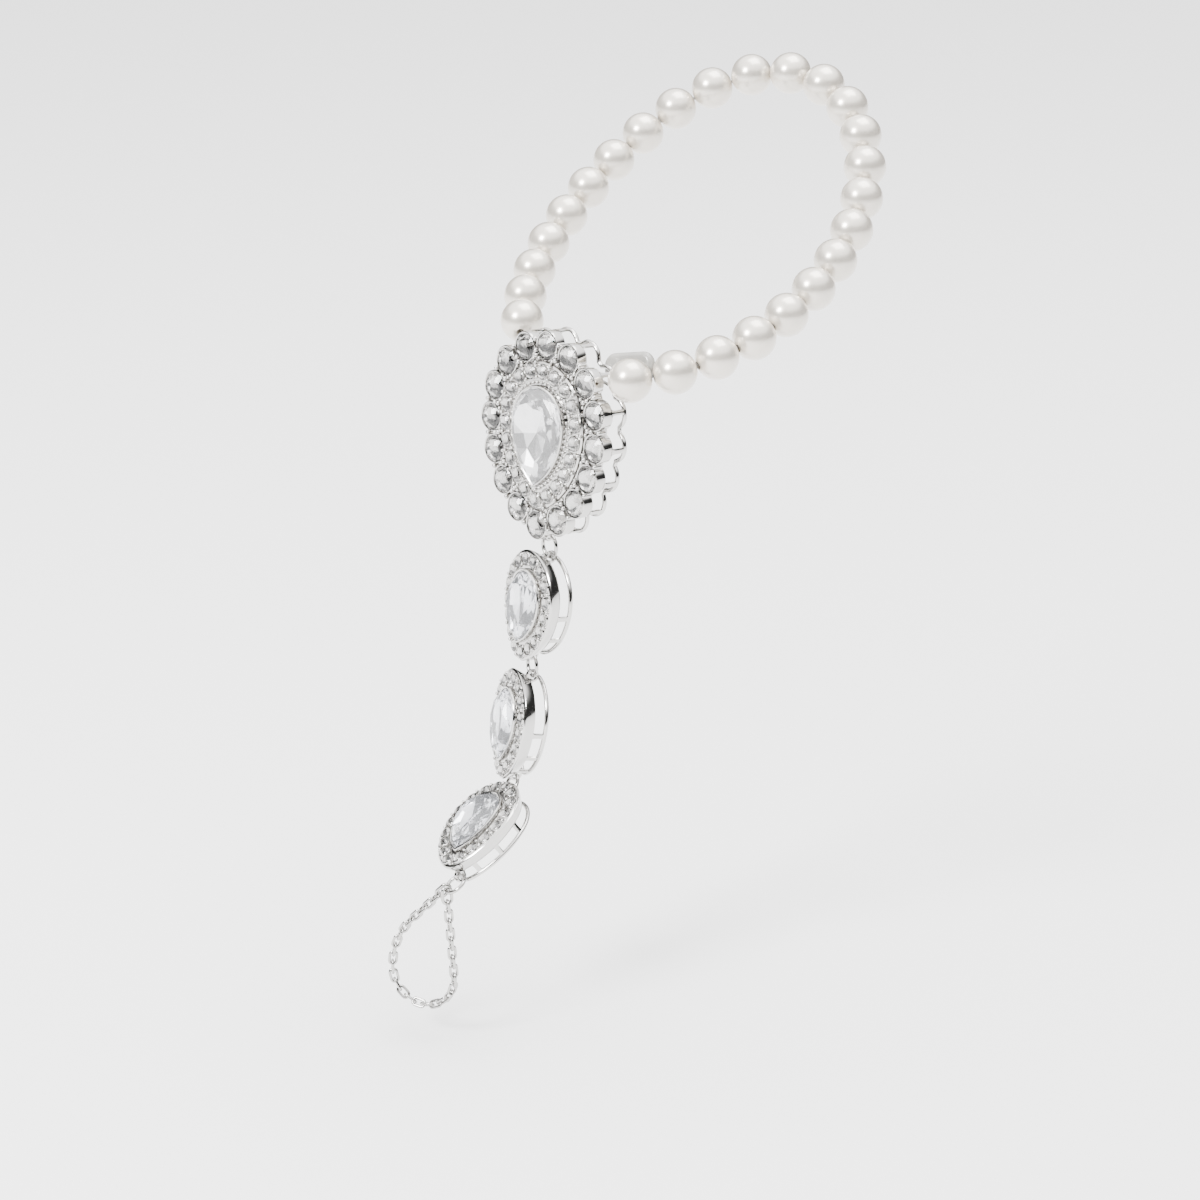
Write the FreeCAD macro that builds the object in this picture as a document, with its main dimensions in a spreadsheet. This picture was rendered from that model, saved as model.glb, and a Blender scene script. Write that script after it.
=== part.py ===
import FreeCAD, Part
import math
import os
from FreeCAD import Placement, Rotation, Vector

# Barefoot sandal with a pearl anklet, worn form. Millimetres, +Z up, toes toward -Y,
# the inner side of a right foot toward +X. The origin is the middle of the ankle loop.

doc = FreeCAD.newDocument("barefoot_sandal")

# Driving sizes. A depth is measured behind the girdle plane of a piece's centre stone.

SIZES = [
    ("pearl_diameter", 8.0),
    ("pearl_spacing", 8.165),
    ("pearl_bore", 1.6),
    ("pearl_count", 25),
    ("first_pearl", 9.57),
    ("loop_reach", 43.56),
    ("loop_half_width", 29.1),
    ("loop_egg", -0.01),
    ("loop_saddle", 2.62),
    ("loop_heel", 0.62),
    ("loop_tilt", 31.5),
    ("loop_roll", 2.35),
    ("thread_diameter", 0.6),
    ("thread_setback", 0.5),
    ("cover_width", 10.6),
    ("cover_height", 5.2),
    ("cover_thickness", 2.0),
    ("cover_rounding", 0.9),
    ("stone_clearance", 0.12),
    ("big_half_width", 6.5),
    ("big_length", 18.0),
    ("big_crown", 2.3),
    ("big_pavilion", 1.9),
    ("inner_count", 20),
    ("inner_radius", 1.3),
    ("inner_offset", 2.98),
    ("inner_depth", 0.45),
    ("outer_count", 16),
    ("outer_radius", 2.42),
    ("outer_offset", 7.74),
    ("outer_depth", 1.3),
    ("cup_radius", 2.95),
    ("cup_depth", 1.2),
    ("valley_offset", 8.9),
    ("valley_depth", 1.75),
    ("inner_band_end", 4.75),
    ("inner_band_depth", 0.6),
    ("big_floor_depth", 3.2),
    ("big_floor_thickness", 0.7),
    ("big_rail_depth", 6.5),
    ("drop_half_width", 5.0),
    ("drop_length", 14.0),
    ("drop_crown", 2.2),
    ("drop_pavilion", 1.25),
    ("halo_count", 17),
    ("halo_radius", 1.15),
    ("halo_offset", 2.2),
    ("halo_depth", 0.5),
    ("halo_band_end", 3.6),
    ("halo_band_depth", 0.65),
    ("plate_offset", 3.9),
    ("plate_edge_depth", 1.2),
    ("drop_floor_depth", 2.2),
    ("drop_floor_thickness", 0.6),
    ("wall_foot_offset", 2.9),
    ("wall_foot_depth", 3.2),
    ("drop_rail_depth", 5.8),
    ("bezel_wall", 0.5),
    ("bezel_rise", 0.35),
    ("rail_width", 0.65),
    ("rail_thickness", 0.6),
    ("post_width", 0.8),
    ("lug_bore", 1.7),
    ("lug_radius", 1.25),
    ("lug_width", 0.8),
    ("drop_lug_reach", 3.2),
    ("drop_lug_depth", 3.9),
    ("big_lug_reach", 10.05),
    ("big_lug_depth", 4.4),
    ("ring_radius", 2.1),
    ("ring_wire", 0.72),
    ("link_length", 3.0),
    ("link_width", 1.8),
    ("link_wire", 0.46),
    ("link_pitch", 1.87),
    ("end_link_length", 3.75),
    ("end_link_width", 2.3),
    ("end_link_wire", 0.55),
    ("link_play", 0.15),
]

sheet = doc.addObject("Spreadsheet::Sheet", "Sizes")
for row, (word, value) in enumerate(SIZES, start=1):
    sheet.set(f"A{row}", word)
    sheet.set(f"B{row}", str(value))
    sheet.setAlias(f"B{row}", word)
doc.recompute()
size = {word: float(sheet.get(word)) for word, value in SIZES}

# Where the thread enters the gallery behind the medallion's face, in the medallion's frame:
# on the inner side of the foot first, then on the outer side.
GALLERY_ENTRIES = [(14.6, 11.6, -4.8), (-11.2, 16.0, -4.9)]

# Where the face of each large piece sits: middle of its centre stone or of the cover, and the way it looks.
# turn is about the vertical, lean tips the face upward, roll spins it in its own plane.

FACES = {
    # piece: (x, y, z, turn, lean, roll)
    "medallion": (-10.9, -37.1, -32.9, -16.0, 3.5, -1.5),
    "drop_1": (-14.1, -37.3, -66.0, -29.5, 5.0, -12.0),
    "drop_2": (-18.4, -37.5, -90.0, -40.0, 8.5, -5.0),
    "drop_3": (-18.8, -47.9, -106.1, -38.5, 53.5, 35.0),
    "knot_cover": (5.2, -31.1, -19.05, -5.9, 14.5, 10.8),
}

# The toe loop in its upright plane, from the last jump ring down round the second toe.
# The holds are where its two end links sit, in degrees from the ring's lowest point.
RING_HOLDS = (35.0, 68.0)
TOE_RADIUS = 6.5
TOE_INNER_SIDE = 1.3
TOE_DROP = 17.5
TOE_OUTER_ARC = 15.3
TOE_PLANE_TURN = 8.0

# Joined faces of the metal stand this far apart, so that none of them coincide.
SINK = 0.05

# Beads of metal that hold the stones, one pair between each two neighbours of a ring.
BEADS = {
    # ring: [(distance outward from the ring of stones, bead radius), ...]
    "outer": [(0.95, 0.42), (-1.75, 0.5)],
    "inner": [(0.95, 0.32), (-0.95, 0.32)],
    "halo": [(0.75, 0.3), (-0.75, 0.3)],
}

# Posts behind a drop's wall: distance down each side from the top of the pear.
DROP_POSTS = (12.9, 18.4, 23.6)

# A link's heading is read over this length of the path before and after its middle.
LINK_REACH = 0.9

UP = Vector(0, 0, 1)
nodes = []


def face_placement(piece):
    x, y, z, turn, lean, roll = FACES[piece]
    about_vertical = Rotation(UP, turn)
    tip_back = Rotation(Vector(1, 0, 0), 90 - lean)
    spin = Rotation(UP, roll)
    return Placement(Vector(x, y, z), about_vertical.multiply(tip_back).multiply(spin))


def keep(item, label, placement=None):
    item.Label = label
    if placement is not None:
        item.Placement = placement
    nodes.append(item)
    return item


def feature(name, shape):
    item = doc.addObject("Part::Feature", name)
    item.Shape = shape
    return item


# Pear outlines: a round end, two side arcs and a tip, grown outward by an offset.

def pear_arcs(half_width, length):
    """Centre height of the round end, side radius and half angle of the sides."""
    tall = length - half_width
    side = (tall * tall + half_width * half_width) / (2 * half_width)
    return length / 2 - half_width, side, math.asin(tall / side)


def pear_half_length(half_width, length, offset):
    middle, side, sweep = pear_arcs(half_width, length)
    round_end = (half_width + offset) * math.pi / 2
    return round_end + (side + offset) * sweep + offset * (math.pi / 2 - sweep)


def pear_point(half_width, length, offset, distance):
    """Point and outward direction at a distance along the outline from its top.

    Positive distances run down the +X side, negative ones down the -X side."""
    middle, side, sweep = pear_arcs(half_width, length)
    mirror = -1 if distance < 0 else 1
    along = abs(distance)
    round_end = (half_width + offset) * math.pi / 2
    flank = (side + offset) * sweep
    if along <= round_end:
        angle = math.pi / 2 - along / (half_width + offset)
        hub = Vector(0, middle, 0)
        reach = half_width + offset
    elif along <= round_end + flank:
        angle = -(along - round_end) / (side + offset)
        hub = Vector(half_width - side, middle, 0)
        reach = side + offset
    else:
        angle = -sweep - (along - round_end - flank) / max(offset, 0.001)
        hub = Vector(0, -length / 2, 0)
        reach = offset
    outward = Vector(math.cos(angle), math.sin(angle), 0)
    point = hub + outward * reach
    return Vector(mirror * point.x, point.y, 0), Vector(mirror * outward.x, outward.y, 0)


def pear_wire(half_width, length, offset, level=0.0):
    middle, side, sweep = pear_arcs(half_width, length)
    lift = Vector(0, 0, level)

    def on(hub, reach, angle):
        return hub + Vector(math.cos(angle), math.sin(angle), 0) * reach + lift

    top_hub = Vector(0, middle, 0)
    right_hub = Vector(half_width - side, middle, 0)
    left_hub = Vector(side - half_width, middle, 0)
    tip_hub = Vector(0, -length / 2, 0)
    spans = [
        (top_hub, half_width + offset, 0, math.pi),
        (left_hub, side + offset, math.pi, math.pi + sweep),
        (tip_hub, offset, math.pi + sweep, 2 * math.pi - sweep),
        (right_hub, side + offset, 2 * math.pi - sweep, 2 * math.pi),
    ]
    edges = []
    for hub, reach, start, end in spans:
        if reach > 0.01:
            points = [on(hub, reach, angle) for angle in (start, (start + end) / 2, end)]
            edges.append(Part.Arc(*points).toShape())
    return Part.Wire(edges)


def pear_face(half_width, length, offset, level=0.0):
    return Part.Face(pear_wire(half_width, length, offset, level))


def pear_slab(half_width, length, offset, bottom, top):
    return pear_face(half_width, length, offset, bottom).extrude(Vector(0, 0, top - bottom))


def pear_band(half_width, length, inner, outer, bottom, top):
    solid = pear_slab(half_width, length, outer, bottom, top)
    return solid.cut(pear_slab(half_width, length, inner, bottom - 1, top + 1))


def spots(half_width, length, offset, count):
    """Stone centres, evenly spaced along the outline with one at its top."""
    half = pear_half_length(half_width, length, offset)
    step = 2 * half / count
    places = []
    for number in range(int(count)):
        distance = number * step
        if distance > half:
            distance -= 2 * half
        places.append(distance)
    return places


# Cut stones. The girdle plane is z = 0, the table faces +Z.

def facet_solid(faces):
    shell = Part.Shell([Part.Face(Part.makePolygon(loop + loop[:1])) for loop in faces])
    solid = Part.Solid(shell)
    if solid.Volume < 0:
        solid.reverse()
    return solid


def cut_stone(outline, crown, pavilion, table_share, girdle):
    """A faceted stone over an even number of outline points, two for each table corner."""
    count = len(outline)
    pairs = count // 2
    rim = [Vector(p.x, p.y, girdle / 2) for p in outline]
    keel = [Vector(p.x, p.y, -girdle / 2) for p in outline]
    hub = Vector(0, sum(p.y for p in outline) / count, 0)
    culet = Vector(hub.x, hub.y, -pavilion)
    table = []
    for number in range(pairs):
        corner = hub + (outline[2 * number] - hub) * table_share
        table.append(Vector(corner.x, corner.y, crown))
    middle_share = (1 + table_share) / 2
    middle = []
    for number in range(pairs):
        corner = hub + (outline[(2 * number + 1) % count] - hub) * middle_share
        middle.append(Vector(corner.x, corner.y, girdle / 2 + (crown - girdle / 2) * 0.6))
    faces = [list(table)]
    for number in range(pairs):
        after = (number + 1) % pairs
        here = 2 * number
        odd = (here + 1) % count
        even = (here + 2) % count
        faces.append([table[number], middle[number], table[after]])
        faces.append([table[number], rim[here], middle[number]])
        faces.append([middle[number], rim[even], table[after]])
        faces.append([middle[number], rim[here], rim[odd]])
        faces.append([middle[number], rim[odd], rim[even]])
        for first, second in ((here, odd), (odd, even)):
            faces.append([rim[first], keel[first], keel[second], rim[second]])
            faces.append([keel[first], culet, keel[second]])
    return facet_solid(faces)


def round_stone(radius):
    sides = 16
    crown = radius * 0.36
    pavilion = radius * 0.42
    girdle = radius * 0.1
    outline = []
    for number in range(sides):
        angle = 2 * math.pi * number / sides
        outline.append(Vector(radius * math.cos(angle), radius * math.sin(angle), 0))
    return cut_stone(outline, crown, pavilion, 0.5, girdle)


def pear_stone(half_width, length, crown, pavilion):
    sides = 24
    half = pear_half_length(half_width, length, 0)
    outline = []
    for number in range(sides):
        distance = 2 * half * number / sides
        if distance > half:
            distance -= 2 * half
        outline.append(pear_point(half_width, length, 0, distance)[0])
    outline.reverse()
    return cut_stone(outline, crown, pavilion, 0.55, 0.3)


def stone_ring(half_width, length, offset, count, radius, depth):
    pattern = round_stone(radius)
    stones = []
    for distance in spots(half_width, length, offset, count):
        point, outward = pear_point(half_width, length, offset, distance)
        stone = pattern.copy()
        stone.Placement = Placement(point - UP * depth, Rotation(Vector(1, 0, 0), outward))
        stones.append(stone)
    return Part.Compound(stones)


# Metal work shared by the medallion and the drops.

def upright(point, radius, bottom, top):
    return Part.makeCylinder(radius, top - bottom, Vector(point.x, point.y, bottom))


def post(point, outward, inner, outer, bottom, top):
    """A strip that stands on the rail; inner and outer are measured outward from point."""
    width = size["post_width"]
    block = Part.makeBox(outer - inner, width, top - bottom, Vector(inner, -width / 2, bottom))
    block.Placement = Placement(point, Rotation(Vector(1, 0, 0), outward))
    return block


def beads(ring, point, outward, bottom, top):
    """Small round-headed pillars beside a point of a ring of stones."""
    pillars = []
    for sideways, radius in BEADS[ring]:
        foot = point + outward * sideways
        pillars.append(upright(foot, radius, bottom, top - radius))
        pillars.append(Part.makeSphere(radius, Vector(foot.x, foot.y, top - radius)))
    return pillars


def lug(reach, depth, root, rail_top, ceiling, direction):
    """A flat tab with a hole along X; reach is the distance of the hole from the middle."""
    width = size["lug_width"]
    radius = size["lug_radius"]
    sideways = Vector(1, 0, 0)
    left = sideways * (-width / 2)
    centre = Vector(0, direction * reach, -depth)
    eye = Part.makeCylinder(radius, width, centre + left, sideways)
    tip = reach + radius * 0.8
    outline = [
        (root, rail_top),
        (root + 0.75, rail_top),
        (tip, -depth - radius * 0.6),
        (tip, -depth + radius * 0.6),
        (reach - 0.2, ceiling),
        (root, ceiling),
    ]
    corners = [left + Vector(0, direction * along, level) for along, level in outline]
    tab = Part.Face(Part.makePolygon(corners + corners[:1])).extrude(sideways * width)
    hole = Part.makeCylinder(size["lug_bore"] / 2, width + 2, centre + left - sideways, sideways)
    return tab.fuse(eye), hole


def bezel(half_width, length, bottom):
    inner = size["stone_clearance"]
    outer = inner + size["bezel_wall"]
    return pear_slab(half_width, length, outer, bottom, size["bezel_rise"])


def stone_well(half_width, length, bottom):
    inner = size["stone_clearance"]
    return pear_slab(half_width, length, inner, bottom, size["bezel_rise"] + 1)


def between(places, half_width, length, offset):
    """Distances half way between neighbouring stones."""
    ordered = sorted(places)
    total = 2 * pear_half_length(half_width, length, offset)
    middles = []
    for first, second in zip(ordered, ordered[1:] + [ordered[0] + total]):
        middle = (first + second) / 2
        if middle > total / 2:
            middle -= total
        middles.append(middle)
    return middles


def fused(parts):
    return parts[0].multiFuse(parts[1:]).removeSplitter()


def medallion_metal():
    a = size["big_half_width"]
    tall = size["big_length"]
    clear = size["stone_clearance"]
    floor = -size["big_floor_depth"]
    floor_top = floor + size["big_floor_thickness"]
    rail_back = -size["big_rail_depth"]
    rail_top = rail_back + size["rail_thickness"]
    cup_top = -size["cup_depth"]
    offset = size["outer_offset"]
    outer_places = spots(a, tall, offset, size["outer_count"])
    inner_places = spots(a, tall, size["inner_offset"], size["inner_count"])
    outer_points = [pear_point(a, tall, offset, d)[0] for d in outer_places]

    def scallops(shrink, level):
        radius = size["cup_radius"] - shrink
        circles = [Part.makeCircle(radius, point + UP * level) for point in outer_points]
        discs = [Part.Face(Part.Wire(circle)) for circle in circles]
        body = pear_face(a, tall, size["valley_offset"] - shrink, level)
        return body.multiFuse(discs).removeSplitter()

    floor_plate = scallops(0, floor).extrude(Vector(0, 0, -size["valley_depth"] - floor))
    rail_outer = scallops(0, rail_back).extrude(Vector(0, 0, size["rail_thickness"]))
    rail_hole = scallops(size["rail_width"], rail_back - 1).extrude(Vector(0, 0, 3))
    rail = rail_outer.cut(rail_hole)
    metal = [floor_plate, rail]
    band = pear_slab(a, tall, size["inner_band_end"], floor + 0.1, -size["inner_band_depth"])
    metal.append(band)
    metal.append(bezel(a, tall, floor + 0.1))
    for point in outer_points:
        metal.append(upright(point, size["cup_radius"] - SINK, floor + 0.1, cup_top))
    for distance in outer_places:
        point, outward = pear_point(a, tall, offset, distance)
        crest = size["cup_radius"]
        if point.y > -tall / 2 - offset + 1:
            metal.append(post(point, outward, crest - size["rail_width"] + SINK, crest - SINK,
                              rail_top - 0.1, floor + 0.1))
    for distance in between(outer_places, a, tall, offset):
        point, outward = pear_point(a, tall, offset, distance)
        metal += beads("outer", point, outward, floor + 0.3, cup_top + 0.3)
    for distance in between(inner_places, a, tall, size["inner_offset"]):
        point, outward = pear_point(a, tall, size["inner_offset"], distance)
        metal += beads("inner", point, outward, floor + 0.5, 0.35 - size["inner_depth"])
    reach = tall / 2 + size["big_lug_reach"]
    tab, hole = lug(reach, size["big_lug_depth"], reach - 1.6, rail_top - 0.1, floor + 0.1, -1)
    metal.append(tab)
    solid = fused(metal)
    wells = [stone_well(a, tall, floor_top), hole]
    for point in outer_points:
        wells.append(upright(point, size["outer_radius"] + clear, floor_top, cup_top + 2))
    for distance in inner_places:
        point = pear_point(a, tall, size["inner_offset"], distance)[0]
        wells.append(upright(point, size["inner_radius"] + clear, floor_top + 0.9, 1))
    return solid.cut(Part.Compound(wells))


def drop_metal():
    a = size["drop_half_width"]
    tall = size["drop_length"]
    clear = size["stone_clearance"]
    floor = -size["drop_floor_depth"]
    floor_top = floor + size["drop_floor_thickness"]
    rail_back = -size["drop_rail_depth"]
    rail_top = rail_back + size["rail_thickness"]
    wall_foot = -size["wall_foot_depth"]
    edge = -size["plate_edge_depth"]
    foot = size["wall_foot_offset"]
    thick = size["bezel_wall"]
    plate = size["plate_offset"]
    places = spots(a, tall, size["halo_offset"], size["halo_count"])
    dish = Part.makeLoft([
        pear_wire(a, tall, foot, wall_foot),
        pear_wire(a, tall, plate, edge),
    ], True, True)
    hollow = pear_slab(a, tall, foot - thick, wall_foot - 1, floor)
    metal = [dish.cut(hollow)]
    metal.append(pear_slab(a, tall, size["halo_band_end"], edge - 0.1, -size["halo_band_depth"]))
    metal.append(bezel(a, tall, floor + 0.1))
    rail_edge = foot + 0.2
    metal.append(pear_band(a, tall, rail_edge - size["rail_width"], rail_edge, rail_back, rail_top))
    for distance in DROP_POSTS:
        for side in (1, -1):
            point, outward = pear_point(a, tall, foot, side * distance)
            metal.append(post(point, outward, -thick, 0, rail_top - 0.1, wall_foot + 0.1))
    for distance in between(places, a, tall, size["halo_offset"]):
        point, outward = pear_point(a, tall, size["halo_offset"], distance)
        metal += beads("halo", point, outward, floor + 0.3, 0.3 - size["halo_depth"])
    reach = tall / 2 + size["drop_lug_reach"]
    root = tall / 2 + foot - thick - 0.4
    holes = []
    for direction in (1, -1):
        tab, hole = lug(reach, size["drop_lug_depth"], root, rail_top - 0.1, floor + 0.1, direction)
        metal.append(tab)
        holes.append(hole)
    solid = fused(metal)
    wells = [stone_well(a, tall, floor_top)] + holes
    for distance in places:
        point = pear_point(a, tall, size["halo_offset"], distance)[0]
        wells.append(upright(point, size["halo_radius"] + clear, floor_top + 0.1, 1))
    return solid.cut(Part.Compound(wells))


# Pearl string round the ankle.

def loop_point(turn):
    lengthwise = -size["loop_reach"] * math.cos(turn)
    lengthwise += size["loop_heel"] * (1 - math.cos(2 * turn)) / 2
    across = size["loop_half_width"] * math.sin(turn) * (1 + size["loop_egg"] * math.cos(turn))
    bow = size["loop_saddle"] * math.cos(2 * turn)
    tilt = Rotation(Vector(1, 0, 0), size["loop_tilt"])
    roll = Rotation(Vector(0, 1, 0), size["loop_roll"])
    return roll.multVec(tilt.multVec(Vector(across, lengthwise, bow)))


STEPS = 1440
loop_points = [loop_point(2 * math.pi * step / STEPS) for step in range(STEPS + 1)]
travel = [0.0]
for before, after in zip(loop_points, loop_points[1:]):
    travel.append(travel[-1] + (after - before).Length)


def along_loop(distance):
    for step in range(STEPS):
        if travel[step + 1] >= distance:
            share = (distance - travel[step]) / (travel[step + 1] - travel[step])
            return loop_points[step] + (loop_points[step + 1] - loop_points[step]) * share
    return loop_points[-1]


pearl_count = int(size["pearl_count"])
pearl_centres = [along_loop(size["first_pearl"] + size["pearl_spacing"] * number)
                 for number in range(pearl_count)]


# The thread bends between the pearls and where it enters the medallion's gallery.

medallion_seat = face_placement("medallion")
gallery_inner_side = medallion_seat.multVec(Vector(*GALLERY_ENTRIES[0]))
gallery_outer_side = medallion_seat.multVec(Vector(*GALLERY_ENTRIES[1]))
thread_corners = [gallery_inner_side]
for here, after in zip(pearl_centres, pearl_centres[1:]):
    thread_corners.append((here + after) * 0.5)
thread_corners.append(gallery_outer_side)

for number, centre in enumerate(pearl_centres):
    start = thread_corners[number]
    ahead = thread_corners[number + 1] - start
    ahead.normalize()
    nearest = start + ahead * (centre - start).dot(ahead)
    off_centre = (nearest - centre).Length
    ball = doc.addObject("Part::Sphere", f"ball_{number + 1:02d}")
    ball.setExpression("Radius", "Sizes.pearl_diameter / 2")
    ball.Placement = Placement(Vector(0, 0, 0), Rotation(Vector(1, 0, 0), 90))
    drill = doc.addObject("Part::Cylinder", f"drill_{number + 1:02d}")
    drill.setExpression("Radius", "Sizes.pearl_bore / 2")
    drill.setExpression("Height", "Sizes.pearl_diameter * 1.5")
    drill.Placement = Placement(Vector(off_centre, 0, -size["pearl_diameter"] * 0.75), Rotation())
    pearl = doc.addObject("Part::Cut", f"pearl_{number + 1:02d}")
    pearl.Base = ball
    pearl.Tool = drill
    turn = Rotation(nearest - centre, Vector(0, 0, 0), ahead, "ZXY")
    keep(pearl, f"pearl_{number + 1:02d}", Placement(centre, turn))


def rounded_path(corners, setback):
    """Edges of a closed path: arcs at the corners, each followed by a straight run."""
    count = len(corners)
    cuts = []
    for number in range(count):
        here = corners[number]
        back = corners[number - 1] - here
        ahead = corners[(number + 1) % count] - here
        half_turn = back.getAngle(ahead) / 2
        back.normalize()
        ahead.normalize()
        reach = setback * math.tan(half_turn)
        inward = back + ahead
        inward.normalize()
        crown = here + inward * (reach / math.sin(half_turn) - reach)
        cuts.append((here + back * setback, crown, here + ahead * setback))
    edges = []
    for number in range(count):
        start, crown, end = cuts[number]
        edges.append(Part.Arc(start, crown, end).toShape())
        edges.append(Part.makeLine(end, cuts[(number + 1) % count][0]))
    return edges


thread_edges = rounded_path(thread_corners, size["thread_setback"])
string_path = feature("string_path", Part.Wire(thread_edges[:-1]))
string_start = string_path.Shape.Edges[0]
string_section = doc.addObject("Part::Circle", "string_section")
string_section.setExpression("Radius", "Sizes.thread_diameter / 2")
string_head = string_start.valueAt(string_start.FirstParameter)
string_heading = string_start.tangentAt(string_start.FirstParameter)
string_section.Placement = Placement(string_head, Rotation(UP, string_heading))
string_run = doc.addObject("Part::Sweep", "string_run")
string_run.Sections = [string_section]
string_run.Spine = string_path
string_run.Solid = True
string_run.Frenet = False

# The straight run of the thread behind the face of the medallion.
gallery_start, gallery_end = [vertex.Point for vertex in thread_edges[-1].Vertexes]
gallery_run = doc.addObject("Part::Cylinder", "gallery_run")
gallery_run.setExpression("Radius", "Sizes.thread_diameter / 2")
gallery_run.Height = (gallery_end - gallery_start).Length
gallery_run.Placement = Placement(gallery_start, Rotation(UP, gallery_end - gallery_start))
thread = doc.addObject("Part::MultiFuse", "elastic_thread")
thread.Shapes = [string_run, gallery_run]
keep(thread, "elastic_thread")

# The small pad between the first pearl and the leg.

cover_box = doc.addObject("Part::Box", "cover_box")
cover_box.setExpression("Length", "Sizes.cover_width")
cover_box.setExpression("Width", "Sizes.cover_height")
cover_box.setExpression("Height", "Sizes.cover_thickness")
cover_box.Placement = Placement(
    Vector(-size["cover_width"] / 2, -size["cover_height"] / 2, -size["cover_thickness"] / 2), Rotation()
)
doc.recompute()
cover = doc.addObject("Part::Fillet", "knot_cover")
cover.Base = cover_box
rounding = size["cover_rounding"]
cover.Edges = [(number + 1, rounding, rounding) for number in range(len(cover_box.Shape.Edges))]
keep(cover, "knot_cover", face_placement("knot_cover"))

# Medallion.

seat = face_placement("medallion")
keep(feature("medallion_setting", medallion_metal()), "medallion_setting", seat)
keep(feature("medallion_stone", pear_stone(size["big_half_width"], size["big_length"],
                                           size["big_crown"], size["big_pavilion"])),
     "medallion_stone", seat)
keep(feature("medallion_inner_stones", stone_ring(size["big_half_width"], size["big_length"],
                                                  size["inner_offset"], size["inner_count"],
                                                  size["inner_radius"], size["inner_depth"])),
     "medallion_inner_stones", seat)
keep(feature("medallion_outer_stones", stone_ring(size["big_half_width"], size["big_length"],
                                                  size["outer_offset"], size["outer_count"],
                                                  size["outer_radius"], size["outer_depth"])),
     "medallion_outer_stones", seat)

# Three drops, one pattern placed three times.

drop_setting = drop_metal()
drop_stone = pear_stone(size["drop_half_width"], size["drop_length"],
                        size["drop_crown"], size["drop_pavilion"])
drop_halo = stone_ring(size["drop_half_width"], size["drop_length"], size["halo_offset"],
                       size["halo_count"], size["halo_radius"], size["halo_depth"])
for piece in ("drop_1", "drop_2", "drop_3"):
    seat = face_placement(piece)
    keep(feature(f"{piece}_setting", drop_setting.copy()), f"{piece}_setting", seat)
    keep(feature(f"{piece}_stone", drop_stone.copy()), f"{piece}_stone", seat)
    keep(feature(f"{piece}_halo_stones", drop_halo.copy()), f"{piece}_halo_stones", seat)

# Jump rings through the lugs.

big_reach = size["big_length"] / 2 + size["big_lug_reach"]
drop_reach = size["drop_length"] / 2 + size["drop_lug_reach"]
LOWER_EYE = {"medallion": Vector(0, -big_reach, -size["big_lug_depth"])}
for piece in ("drop_1", "drop_2", "drop_3"):
    LOWER_EYE[piece] = Vector(0, -drop_reach, -size["drop_lug_depth"])
UPPER_EYE = Vector(0, drop_reach, -size["drop_lug_depth"])
NORMAL = Vector(0, 0, 1)


def add_ring(number, centre, down, normal):
    ring = doc.addObject("Part::Torus", f"jump_ring_{number}")
    ring.setExpression("Radius1", "Sizes.ring_radius")
    ring.setExpression("Radius2", "Sizes.ring_wire / 2")
    across = down.cross(normal)
    keep(ring, f"jump_ring_{number}", Placement(centre, Rotation(down, across, normal, "XZY")))


pieces = ["medallion", "drop_1", "drop_2", "drop_3"]
for number in range(3):
    upper = face_placement(pieces[number])
    lower = face_placement(pieces[number + 1])
    top = upper.multVec(LOWER_EYE[pieces[number]])
    bottom = lower.multVec(UPPER_EYE)
    down = bottom - top
    normal = upper.Rotation.multVec(NORMAL) + lower.Rotation.multVec(NORMAL)
    add_ring(number + 1, (top + bottom) * 0.5, down, normal)

last = face_placement("drop_3")
down = last.Rotation.multVec(Vector(0, -1, 0))
across = last.Rotation.multVec(Vector(1, 0, 0))
normal = last.Rotation.multVec(NORMAL)
last_ring = last.multVec(LOWER_EYE["drop_3"]) + down * size["ring_radius"]
add_ring(4, last_ring, down, normal)


# Toe chain: both end links hang on the last ring, the rest run down the inner side of
# the second toe, under it and back up its outer side, each turned a quarter from the next.

def on_last_ring(degrees):
    """Wire centre and wire direction, at an angle from the ring's lowest point."""
    angle = math.radians(degrees)
    outward = down * math.cos(angle) - across * math.sin(angle)
    along = down * -math.sin(angle) - across * math.cos(angle)
    return last_ring + outward * size["ring_radius"], along


inner_hold, inner_wire = on_last_ring(RING_HOLDS[0])
outer_hold, outer_wire = on_last_ring(RING_HOLDS[1])
toe_across = Rotation(UP, TOE_PLANE_TURN).multVec(Vector(1, 0, 0))
toe_forward = toe_across.cross(UP)


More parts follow.
